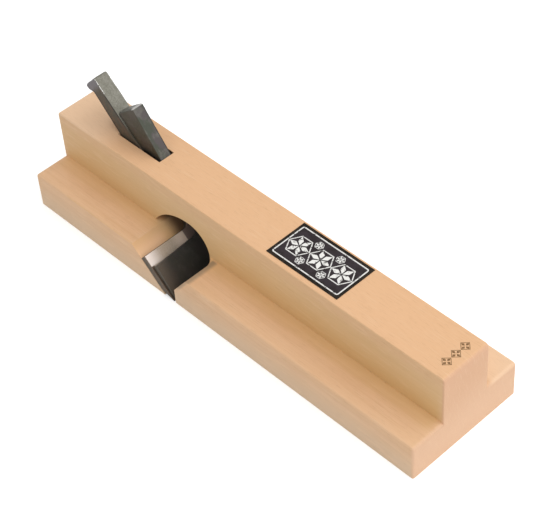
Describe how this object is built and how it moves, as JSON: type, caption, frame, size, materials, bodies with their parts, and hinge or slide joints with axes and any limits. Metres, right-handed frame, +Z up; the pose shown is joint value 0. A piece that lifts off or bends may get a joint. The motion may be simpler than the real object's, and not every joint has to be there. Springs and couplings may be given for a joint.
{
  "type": "japanese hand plane",
  "caption": "Wooden hand plane with a tall ridge between low ledges, a full-width T-shaped laminated blade and a wedge-stemmed chip breaker set through an arched throat.",
  "frame": {"origin": "centre of the sole, on the surface that the plane stands on", "axes": "+X along the body, the way the plane cuts; +Y to the left side as it faces that way; +Z up from the sole"},
  "size_m": [0.21, 0.055, 0.0619],
  "materials": {
    "oak": "planed, unvarnished",
    "soft_iron": "forged, with a ground face",
    "hard_steel": "ground and honed",
    "forged_iron": "black forging scale",
    "label_paper": "printed paper"
  },
  "bodies": {
    "plane_body": {"body_block": "oak", "top_label": "label_paper"},
    "blade": {"blade_iron": "soft_iron", "blade_steel": "hard_steel"},
    "chip_breaker": {"chip_breaker_iron": "forged_iron", "chip_breaker_steel": "hard_steel"}
  },
  "joints": [
    {"name": "blade_slide", "type": "slide", "parent": "plane_body", "child": "blade", "axis": [-0.7254, 0, 0.6884], "range_m": [-0.001, 0.007]},
    {"name": "chip_breaker_slide", "type": "slide", "parent": "plane_body", "child": "chip_breaker", "axis": [-0.7254, 0, 0.6884], "range_m": [0, 0.01]}
  ]
}
